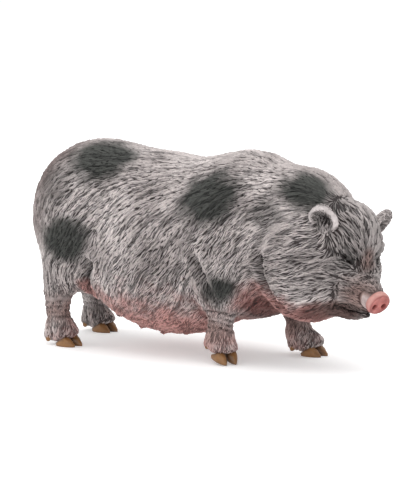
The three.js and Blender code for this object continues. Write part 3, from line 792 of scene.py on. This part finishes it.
halves = [((f[0], f[1], f[2]), (f[0], f[2], f[-1]))[: len(f) - 2] for f in all_faces]
triangles = np.array([half for both in halves for half in both])
corner = all_points[triangles]
crossed = np.cross(corner[:, 1] - corner[:, 0], corner[:, 2] - corner[:, 0])
area = size(crossed) / 2
vertex_normals = np.zeros_like(all_points)
for n in range(3):
    np.add.at(vertex_normals, triangles[:, n], crossed)
vertex_normals /= np.maximum(size(vertex_normals), 1e-9)[:, None]
skin_tree = BVHTree.FromPolygons(all_points.tolist(), triangles.tolist())
ear_starts = np.cumsum([0] + [len(s[0]) for s in skins])


def ways(x, y, z):
    return np.stack(np.broadcast_arrays(x, y, z), 1)


def lie_and_kind(p):
    """The way that the coat lies at points of the body, and which kind of bristle grows there."""
    x, y, z = p.T
    side = np.clip(y / 5, -1, 1)
    h = moved(p, HEAD.inverted())
    hx, hy, hz = h.T
    # Each mass has its own lie, and neighbours share the skin between them.
    off = np.stack([field(*p.T) for field in (trunk, neck, head, *legs, tail)], 1)
    share = np.exp(-np.clip(off - off.min(1)[:, None], 0, 30) / 0.9)
    share[:, 3:7] *= (1 - step_up(z, 13, 18))[:, None]
    share[:, 0] += 1e-3
    share /= share.sum(1)[:, None]
    rump = step_up(-x, 12, 31)
    steep = between(0.35, 1.25, 1 - step_up(z, 26, 40))
    trunk_lie = ways(-1 + 0.55 * rump, 0.25 * side * rump, -steep - 0.9 * rump)
    neck_lie = ways(-1, 0.1 * side, -0.12 - 0.25 * (1 - step_up(z, 28, 38)) * step_up(z, 20, 28))
    # On the crown and brow the bristles fall forwards, and on the rest of the face back to the neck.
    crown = step_up(hz + 0.35 * hx + 0.9 * np.abs(hy), 6.4, 8.4) * step_up(hx, -20, -17)
    crown = np.maximum(crown, step_up(hz, 2.2, 6) * (1 - step_up(np.abs(hy), 1.6, 3)) * step_up(hx, -12, -9))
    snub = step_up(hx, -5, -2.5)
    front, back = ways(0.9, -0.16 * hy, -0.65), ways(-1, 0.12 * np.sign(hy), -0.32 * (hz > 3) - 0.05)
    face_lie = between(back, front, crown[:, None])
    face_lie = between(face_lie, ways(-1, 0.4 * hy, 0), snub[:, None])
    face_lie = face_lie @ np.array(HEAD.to_3x3()).T
    leg_lie, tail_lie = np.array((-0.12, 0, -1)), np.array((0, 0, -1))
    lie = (
        share[:, [0]] * trunk_lie
        + share[:, [1]] * neck_lie
        + share[:, [2]] * face_lie
        + share[:, 3:7].sum(1)[:, None] * leg_lie
        + share[:, [7]] * tail_lie
    )
    most = share.argmax(1)
    on_head, on_leg = most == 2, (most >= 3) & (most < 7)
    low_ring = np.where(x > 0, LOW_RING_FORE, LOW_RING_HIND)
    kind = np.zeros(len(p), int)
    for name, here in (
        ("belly", (most == 0) & (z < 8.5)),
        ("neck", most == 1),
        ("cheek", on_head),
        ("brow", on_head & (crown > 0.5)),
        ("muzzle", on_head & (hx > -5.2) & (hz < 6)),
        ("leg", on_leg & (z < 15)),
        ("shank", on_leg & (z < low_ring + 3.6)),
        ("foot", on_leg & (z < low_ring - 0.2)),
        ("tail", most == 7),
    ):
        kind[here] = KINDS.index(name)
    return lie, kind


def lie_along(p, normal, ear_side):
    """The way of the coat at roots on the body or the ears, kept along the skin."""
    lie, _ = lie_and_kind(p)
    for side in EARS:
        mine, turned_ear = ear_side == side, ear_frame(side)
        y = moved(p[mine], turned_ear.inverted())[:, 1]
        lie[mine] = ways(0, 0.35 * y, 1) @ np.array(turned_ear.to_3x3()).T
    lie = lie - normal * (lie * normal).sum(1)[:, None]
    return lie / np.maximum(size(lie), 1e-6)[:, None]


def rooted(p):
    """The nearest places on the skin, and its smooth normals there."""
    at, face = np.empty_like(p), np.empty(len(p), int)
    for n, q in enumerate(p.tolist()):
        found = skin_tree.find_nearest(q)
        at[n], face[n] = found[0], found[2]
    ends = all_points[triangles[face]]
    weight = 1 / (np.linalg.norm(ends - at[:, None], axis=2) + 1e-3)
    normal = (vertex_normals[triangles[face]] * weight[:, :, None]).sum(1)
    return at, normal / size(normal)[:, None]


def unwrapped(p, piece):
    """A place on a flat layout of the skin: each region is slit along its underside and rolled out."""
    if piece.startswith("coat_ear"):
        side = 1 if piece.endswith("left") else -1
        x, y, z = moved(p, ear_frame(side).inverted()).T
        return np.stack([0.25 + 0.5 * (x > 0.1 - 0.2 * z / 3) + y / 16, 0.1 + (z + 1) / 10], 1)
    if piece in ("coat_brow", "coat_face"):
        x, y, z = moved(p, HEAD.inverted()).T
        return np.stack([(x + 24) / 25, 0.5 + np.arctan2(y, z - 2) / 6.6], 1)
    x, y, z = p.T
    if piece.startswith("coat_legs"):
        made = np.zeros((len(p), 2))
        for n, leg in enumerate(STANCE):
            here = (np.sign(y) == leg.side) & (np.abs(x - leg.shank) < 14)
            bone = between(leg.foot, leg.shank, np.clip(z / 6, 0, 1))
            about = np.arctan2(y - leg.side * leg.track, x - bone)
            made[here] = np.stack([0.125 + n / 4 + about / 28, z / 26], 1)[here]
        return made
    return np.stack([(x + 36) / 92, 0.5 + np.arctan2(y, z - 21) / 6.5], 1)


def in_eye_slit(p, half_long, half_high, reach):
    """Which points in the head's frame lie in the slit of an eye."""
    found = np.zeros(len(p), bool)
    for side in (1, -1):
        off, u, v = from_slit(p, side)
        found |= (np.abs(u) < half_long) & (np.abs(v) < half_high) & (size(off) < reach)
    return found


coat_paint, tree, shader = paint("Dry-brushed bristle", 0.62, Specular_IOR_Level=0.35)
place = own_place(tree)
marks = node(tree, "Group", {"Place": place}, node_tree=markings)
touched = ranged(tree, own_mask(tree, "rise"), 0.22, 0.72, ease="SMOOTHSTEP")
colour = mixed(tree, touched, marks.outputs["Hollow"], marks.outputs["Ridge"])
colour = mixed(tree, 1.0, colour, own_mask(tree, "shade"), "MULTIPLY")
gloss = brushed_on(tree, shader, place, colour, 3000.0, 0.5, 0.35, 0.00008)
tree.links.new(gloss, shader.inputs["Roughness"])

dice = np.random.default_rng(SEED)
centre = corner.mean(1)
_, kinds = lie_and_kind(centre)
kinds[triangles[:, 0] >= ear_starts[1]] = KINDS.index("ear")
sizes = np.array([BRISTLES[k] for k in KINDS])
density = sizes[kinds, 3] / (sizes[kinds, 0] * sizes[kinds, 1])
head_centre = moved(centre, HEAD.inverted())
bare = (centre[:, 2] < GROUND + 0.3) | (moved(centre, DISC_FRAME.inverted())[:, 0] > -0.95)
bare |= in_eye_slit(head_centre, *EYE_BARE)
for x, side in TEAT_PLACES:
    bare |= (np.hypot(centre[:, 0] - x, centre[:, 1] - side * TEAT_APART) < TEAT_BARE) & (centre[:, 2] < 6)
bare |= (all_bald[triangles[:, 0]] > BALDEST) & ~np.isin(kinds, (KINDS.index("shank"), KINDS.index("foot")))
crest = bump(head_centre[:, 0] - CREST_AT, CREST_WIDTH) * (head_centre[:, 2] > 4)
density *= 1 + CREST_THICKER * crest
density[bare] = 0
total = np.cumsum(area * density)
count = int(total[-1])
pick = np.searchsorted(total, (np.arange(count) + dice.random(count)) * total[-1] / count)
pick = np.minimum(pick, len(area) - 1)
a, b = dice.random((2, count))
a, b = np.where(a + b > 1, 1 - a, a), np.where(a + b > 1, 1 - b, b)
first, second, third = (corner[pick, n] for n in range(3))
roots = first + a[:, None] * (second - first) + b[:, None] * (third - first)
kind = kinds[pick]
ear_side = np.array((0, 1, -1))[np.searchsorted(ear_starts[1:3], triangles[pick, 0], "right")]

width, length, height, _, stray = sizes[kind].T
length = length * dice.uniform(0.65, 1.35, count)
width = width * dice.uniform(0.75, 1.2, count)
height = height * dice.uniform(0.75, 1.2, count)
own_turn = dice.normal(0, 0.2, count) * (0.5 + stray)
path, normal, heading = [roots], [], []
p = roots
for _ in range(STEPS):
    at, n = rooted(p)
    lie = lie_along(at, n, ear_side)
    turn_by = own_turn + stray * 2.2 * (lumpy(at, 3.4) + 0.45 * lumpy(at, 1.3, (9, 4, 1)))
    way = lie * np.cos(turn_by)[:, None] + np.cross(n, lie) * np.sin(turn_by)[:, None]
    path[-1] = at
    normal.append(n)
    heading.append(way)
    p = at + way * (length / (STEPS - 1))[:, None]
    path.append(p)
path = np.stack(path[:STEPS], 1)
normal, heading = np.stack(normal, 1), np.stack(heading, 1)

# Where two flows meet the bristles are short, and none crosses the mouth or the eyes.
sharp = (heading[:, 0] * heading[:, -1]).sum(1) < SHARPEST
for lines in (path, normal, heading):
    start, step = lines[sharp, 0], lines[sharp, 1] - lines[sharp, 0]
    for n in range(1, STEPS):
        lines[sharp, n] = start + step * SHARPEST * n * (1 if lines is path else 0)
in_head = moved(path.reshape(-1, 3), HEAD.inverted())
crosses = (off_path(in_head * (1, 0, 1), MOUTH_LINE) < MOUTH_CLEAR) | in_eye_slit(in_head, *EYE_CLEAR)
crosses = crosses.reshape(count, STEPS)
reach = np.where(crosses.any(1), crosses.argmax(1) - 0.7, STEPS - 1) / (STEPS - 1)
for lines in (path, normal, heading):
    t = np.outer(np.maximum(reach, 0), np.arange(STEPS))
    low = np.minimum(t.astype(int), STEPS - 2)
    rows = np.arange(count)[:, None]
    lines[:] = between(lines[rows, low], lines[rows, low + 1], (t - low)[:, :, None])
free = reach > 0.12
path, normal, heading = path[free], normal[free], heading[free]
roots, kind, ear_side = roots[free], kind[free], ear_side[free]
width, height, count = width[free], height[free], int(free.sum())
across = np.cross(normal, heading)

# Bristles on the same flow line rise and fall together, in long locks with dark grooves between them.
locks = np.zeros(count)
for way in (1, -1):
    p = roots
    for _ in range(LOCK_STEPS):
        locks += lumpy(p, LOCK_WIDTH)
        p = p + way * LOCK_STEP * lie_along(p, normal[:, 0], ear_side)
locks = np.clip(locks / (1.3 * locks.std()), -1, 1)
height = height * (1 + 0.35 * locks)

# Each bristle is a closed rib of three edges: a root point, three rings, and a tip point.
spread = np.array([0, 0.8, 1.0, 0.66, 0])  # of its width, at each step
arch = np.array([0, 0.75, 1.0, 0.85, 0])  # and of its height
lift = np.array([-0.2, -0.05, 0.0, 0.12, 0.3])
middle = path + normal * (lift * height[:, None])[:, :, None]
edge = across * (spread * width[:, None] / 2)[:, :, None]
sunk = normal[:, [0]] * (0.35 * height[:, None, None])
top = middle + normal * (arch * height[:, None])[:, :, None]
low_left, low_right = middle + edge - sunk, middle - edge - sunk
rings = [np.stack([low_left[:, i], low_right[:, i], top[:, i]], 1) for i in (1, 2, 3)]
verts = np.concatenate([middle[:, [0]] - sunk, *rings, middle[:, [4]]], 1)  # 11 a bristle
tuft_faces = [(0, 3, 1), (0, 2, 3), (0, 1, 2)]
for ring in (1, 4):
    for m, n in ((0, 2), (2, 1), (1, 0)):
        p, q, r, s = ring + m, ring + n, ring + 3 + n, ring + 3 + m
        tuft_faces += [(r, s, p), (q, r, p)]
tuft_faces = np.array(tuft_faces + [(7, 9, 10), (9, 8, 10), (8, 7, 10)])
tuft_rise = np.array([0.1, 0, 0, 0.75, 0, 0, 1, 0, 0, 1, 0.45])
tuft_along = np.array([0, 0.3, 0.3, 0.3, 0.5, 0.5, 0.5, 0.75, 0.75, 0.75, 1]) - 0.5
tuft_across = np.array([0, 1, -1, 0, 1, -1, 0, 1, -1, 0, 0]) / 2
shade_patches_and_root_wash = np.array([all_hollow[triangles[skin_tree.find_nearest(p)[2], 0]] for p in roots.tolist()])
contrast = np.array([CONTRAST.get(k, 0.52) for k in KINDS])[kind]
shades = np.clip(dice.normal(0.87, 0.1, count) + contrast * locks, 0.16, 1.3) * (1 - 0.7 * shade_patches_and_root_wash)
shades *= np.array([DULLED.get(k, 1) for k in KINDS])[kind]


def region_of(x, y, kind, ear):
    if ear:
        return "coat_ear_left" if ear > 0 else "coat_ear_right"
    if kind in ("leg", "shank", "foot"):
        return "coat_legs_fore" if x > 0 else "coat_legs_hind"
    if kind in ("cheek", "muzzle"):
        return "coat_face"
    if kind in ("neck", "brow", "tail"):
        return "coat_" + kind
    stretch = "shoulder" if x > SHOULDER_FROM else "rump" if x < RUMP_FROM else "flank"
    return f"coat_{stretch}_{'left' if y > 0 else 'right'}"


def coat_piece(name, chosen):
    v = in_row(verts[chosen].reshape(-1, 3))
    many, per = len(chosen), verts.shape[1]
    f = (tuft_faces[None] + (np.arange(many) * per)[:, None, None]).reshape(-1)
    mesh = bpy.data.meshes.new(name)
    mesh.vertices.add(len(v))
    mesh.vertices.foreach_set("co", v.astype(np.float32).ravel())
    mesh.loops.add(len(f))
    mesh.loops.foreach_set("vertex_index", f.astype(np.int32))
    mesh.polygons.add(len(f) // 3)
    mesh.polygons.foreach_set("loop_start", np.arange(0, len(f), 3, dtype=np.int32))
    mesh.polygons.foreach_set("use_smooth", np.ones(len(f) // 3, bool))
    mesh.update(calc_edges=True)
    masked(mesh, rise=np.tile(tuft_rise, many), shade=np.repeat(shades[chosen], per))
    patch = BAKE_PATCH * np.stack([tuft_along, tuft_across], 1)
    flat = np.clip(unwrapped(roots[chosen], name), BAKE_PATCH, 1 - BAKE_PATCH)[:, None] + patch
    layer = mesh.uv_layers.new(name="OFBake")
    layer.data.foreach_set("uv", flat.reshape(-1, 2)[f].astype(np.float32).ravel())
    mesh.materials.append(coat_paint)
    piece = shown(name, mesh)
    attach(piece, "root")


regions = [region_of(x, y, KINDS[k], ear) for (x, y, _), k, ear in zip(roots, kind, ear_side)]
regions = np.array(regions, object)
for name in sorted(set(regions)):
    coat_piece(name, np.flatnonzero(regions == name))

# ---- Snout disc -------------------------------------------------------------------------------------------
# A round of soft pink plastic at the end of the muzzle, a little wider than high, with a rolled rim, two
# nostrils pressed into it and a coat of coral paint, paler on the rim.
DISC_HALF_WIDTH, DISC_HALF_HEIGHT, DISC_RIM, DISC_DISH, DISC_ROLL = 2.5, 2.45, 0.75, 0.16, 0.16
NARROWED = 0.16  # over the nostrils
DISC_AROUND = 72
NOSTRIL_APART, NOSTRIL_RISE, NOSTRIL_WIDE, NOSTRIL_TALL, NOSTRIL_DEPTH = 1.1, -0.45, 0.42, 0.48, 1.0
PHILTRUM_DEPTH = 0.12
snout_paint, tree, shader = paint("Coral snout", 0.5)
place = own_place(tree)
blot = ranged(tree, grain(tree, 800.0, 4.0, Vector=place), 0.35, 0.65)
flush = mixed(tree, blot, srgb(178, 104, 97), srgb(136, 64, 60))
flush = mixed(tree, own_mask(tree, "rim"), flush, srgb(192, 140, 132))
# Dark red painted shade where the mask is set.
flush = mixed(tree, own_mask(tree, "hollow"), flush, srgb(92, 36, 33))
brushed_on(tree, shader, place, flush, 1600.0, 0.35, 0.3)

profile = [(0.86 * t, DISC_RIM - DISC_DISH + DISC_DISH * t**3) for t in np.linspace(0, 1, 20)[1:]]
for a in np.radians(np.linspace(80, -90, 12)):  # reach from the middle, and height out of the face
    profile.append((1 - DISC_ROLL + DISC_ROLL * math.cos(a), DISC_RIM * math.sin(a)))
profile.append((0.5, -DISC_RIM))
disc = [(DISC_RIM - DISC_DISH, 0, 0)]
for reach, out in profile:
    for n in range(DISC_AROUND):
        a = 2 * math.pi * n / DISC_AROUND
        half_width = DISC_HALF_WIDTH * (1 - NARROWED * max(0, math.sin(a)) ** 2)
        disc.append((out, reach * math.cos(a) * half_width, reach * math.sin(a) * DISC_HALF_HEIGHT))
disc = np.array(disc + [(-DISC_RIM, 0, 0)])
x, y, z = disc.T.copy()
front = x > 0.3
reach = np.hypot(y / DISC_HALF_WIDTH, z / DISC_HALF_HEIGHT)
pale = bump(reach - 0.97, 0.08) * np.clip(0.5 + 0.4 * (z - y * 0.6), 0, 1)
# Painted shade: the disc darkens along its low edge, in the crease inside the rim and in the nostrils.
low_edge = np.clip(0.6 * y - 0.8 * z - 0.6, 0, 1) * bump(reach - 1, 0.12)
dark_wash_and_painted_shade = np.maximum(0.4 * bump(reach - 0.82, 0.07) * front, 0.45 * low_edge)
for side in (1, -1):
    off = np.hypot((y - side * NOSTRIL_APART) / NOSTRIL_WIDE, (z - NOSTRIL_RISE) / NOSTRIL_TALL)
    x += front * (-NOSTRIL_DEPTH * np.exp(-(off**4)) + 0.13 * bump(off - 1.6, 0.5))
    dark_wash_and_painted_shade = np.maximum(dark_wash_and_painted_shade, front * np.exp(-((off / 0.95) ** 4)))
x -= front * PHILTRUM_DEPTH * bump(y, 0.3) * np.clip(z, 0, 1.4) / 1.4
disc = ways(x, y, z)
disc[:, 0] += front * 0.04 * lumpy(disc, 0.625)
disc_faces = [(0, 1 + n, 1 + (n + 1) % DISC_AROUND) for n in range(DISC_AROUND)]
last = len(disc) - 1
for start in range(1, last, DISC_AROUND):
    for n in range(DISC_AROUND):
        a, b = start + n, start + (n + 1) % DISC_AROUND
        ahead = start + DISC_AROUND < last
        disc_faces.append((a, a + DISC_AROUND, b + DISC_AROUND, b) if ahead else (b, a, last))
snout = surface_piece("snout_disc", in_row(moved(disc, DISC_FRAME)), disc_faces, snout_paint)
masked(snout.data, hollow=dark_wash_and_painted_shade, rim=pale)
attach(snout, "root")
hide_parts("snout")

# ---- Eyes ------------------------------------------------------------------------------------------------
# Small dark beads, moulded in the body between heavy lids and touched with gloss black.
EYE_RADIUS, CORNEA = 0.92, 0.12  # the cornea stands a little proud of the ball
eye_paint, tree, shader = paint("Gloss black eye", 0.12)
eye_tone = mixed(tree, grain(tree, 900.0, Vector=own_place(tree)), srgb(12, 9, 9), srgb(34, 24, 20))
tree.links.new(eye_tone, shader.inputs["Base Color"])


def round_mesh(around, up):
    made = bmesh.new()
    bmesh.ops.create_uvsphere(made, u_segments=around, v_segments=up, radius=1)
    p = np.array([v.co for v in made.verts])
    f = [[v.index for v in face.verts] for face in made.faces]
    made.free()
    return p, f


for side, label in ((1, "left"), (-1, "right")):
    out = eye_axes(side)[2]
    seat = HEAD @ (Vector(EYE_SLIT * (1, side, 1)) - out * (EYE_RADIUS + 0.08))
    ahead = np.array(HEAD.to_3x3() @ out)
    p, f = round_mesh(32, 20)
    proud = CORNEA * bump(np.arccos(np.clip(p @ ahead, -1, 1)) ** 2, 0.36)
    p = p * EYE_RADIUS + np.outer(proud, ahead)
    eye = surface_piece("eyeball_" + label, in_row(p + np.array(seat)), f, eye_paint)
    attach(eye, "root")
    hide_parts("eye_" + label)

# ---- Hooves and dewclaws ---------------------------------------------------------------------------------
# Each foot has two toes of horn and two small dewclaws behind, painted golden ochre, with brown painted
# shade in the clefts, under the hair and along the soles. The walls slope back and carry faint growth
# rings, and the soles are flat.
HOOF_LENGTH, HOOF_WIDTH, HOOF_HEIGHT, HOOF_SPLAY, TOE_SLOPE, HEEL_BACK = 6.7, 2.4, 2.4, -5, 1.8, 2.2
CLEFT, RING_DEPTH, RING_SPACING = 0.4, 0.012, 11
DEWCLAW_LENGTH, DEWCLAW_RADIUS, DEWCLAW_BEHIND, DEWCLAW_APART, DEWCLAW_UP = 1.9, 0.6, 3.8, 1.2, 1.5
DEWCLAW_SPLAY, DEWCLAW_DROP = 12, 112
horn_paint, tree, shader = paint("Ochre horn", 0.42)
place = own_place(tree)
horn = mixed(tree, grain(tree, 420.0, 4.0, Vector=place), srgb(156, 112, 66), srgb(106, 72, 40))
# Brown painted shade where the mask is set.
horn = mixed(tree, own_mask(tree, "hollow"), horn, srgb(62, 40, 26))
brushed_on(tree, shader, place, horn, 1500.0, 0.4, 0.3)


def hoof(claw):
    p, f = round_mesh(40, 28)
    x, y, z = p.T
    toe, up = np.maximum(0, x), (z + 1) / 2
    along = HOOF_LENGTH / 2 * (1 + x) - TOE_SLOPE * HOOF_HEIGHT * up * toe
    across = y * HOOF_WIDTH / 2 * (1 - 0.4 * toe**2) * (1 - 0.06 * up)
    tall = HOOF_HEIGHT * (up * 1.6 - 0.3)
    rings = 1 + RING_DEPTH * np.sin(tall * RING_SPACING + along * 3) * (np.abs(z) < 0.9)
    along, across = along * rings - HEEL_BACK, across * rings
    tall = np.maximum(tall, 0.01 * (1 + z))
    under = CORONET + CORONET_SLOPE * (along - CORONET_AT)  # its top is flat under the flesh
    tall = np.minimum(tall, np.maximum(under - 0.05, 0.05 + 0.02 * z))
    tucked = step_up(tall, under - 1.1, under)  # and goes in under the hair
    along, across = between(along, 0.4, 0.2 * tucked), across * (1 - 0.16 * tucked)
    # Painted shade: brown on the wall by the cleft, in a band under the hair at the top and along the sole.
    dark_wash_and_painted_shade = 0.8 * np.clip(-y * claw * 1.4 - 0.3, 0, 1) + 0.6 * bump(tall - under, 0.3)
    dark_wash_and_painted_shade += np.clip(0.35 - tall, 0, 0.35)
    return ways(along, across, tall), f, np.clip(dark_wash_and_painted_shade, 0, 1)


def horn_piece(name, parts, stands_for):
    p, f, dark_wash_and_painted_shade = joined(parts)
    piece = surface_piece(name, in_row(p), f, horn_paint)
    masked(piece.data, hollow=dark_wash_and_painted_shade)
    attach(piece, "root")
    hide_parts(*stands_for)


for leg in STANCE:
    toes, spurs = [], []
    for claw in (1, -1):
        wall, f, dark_wash_and_painted_shade = hoof(claw)
        at = foot_frame(leg) @ turned((0, claw * (HOOF_WIDTH + CLEFT) / 2, 0), claw * HOOF_SPLAY)
        toes.append((moved(wall, at), f, dark_wash_and_painted_shade))
        p, f = round_mesh(20, 14)
        p = p * (DEWCLAW_LENGTH / 2, DEWCLAW_RADIUS, DEWCLAW_RADIUS)
        at = (-DEWCLAW_BEHIND, claw * DEWCLAW_APART, DEWCLAW_UP)
        at = foot_frame(leg) @ turned(at, claw * DEWCLAW_SPLAY, DEWCLAW_DROP)
        # The dewclaws darken towards their roots under the hair: painted shade.
        spurs.append((moved(p, at), f, np.clip(-p[:, 0] * 0.8, 0, 1)))
    horn_piece(f"toes_{leg.name}", toes, [f"hoof_{leg.name}_outer", f"hoof_{leg.name}_inner"])
    horn_piece(f"spurs_{leg.name}", spurs, [f"dewclaw_{leg.name}_outer", f"dewclaw_{leg.name}_inner"])
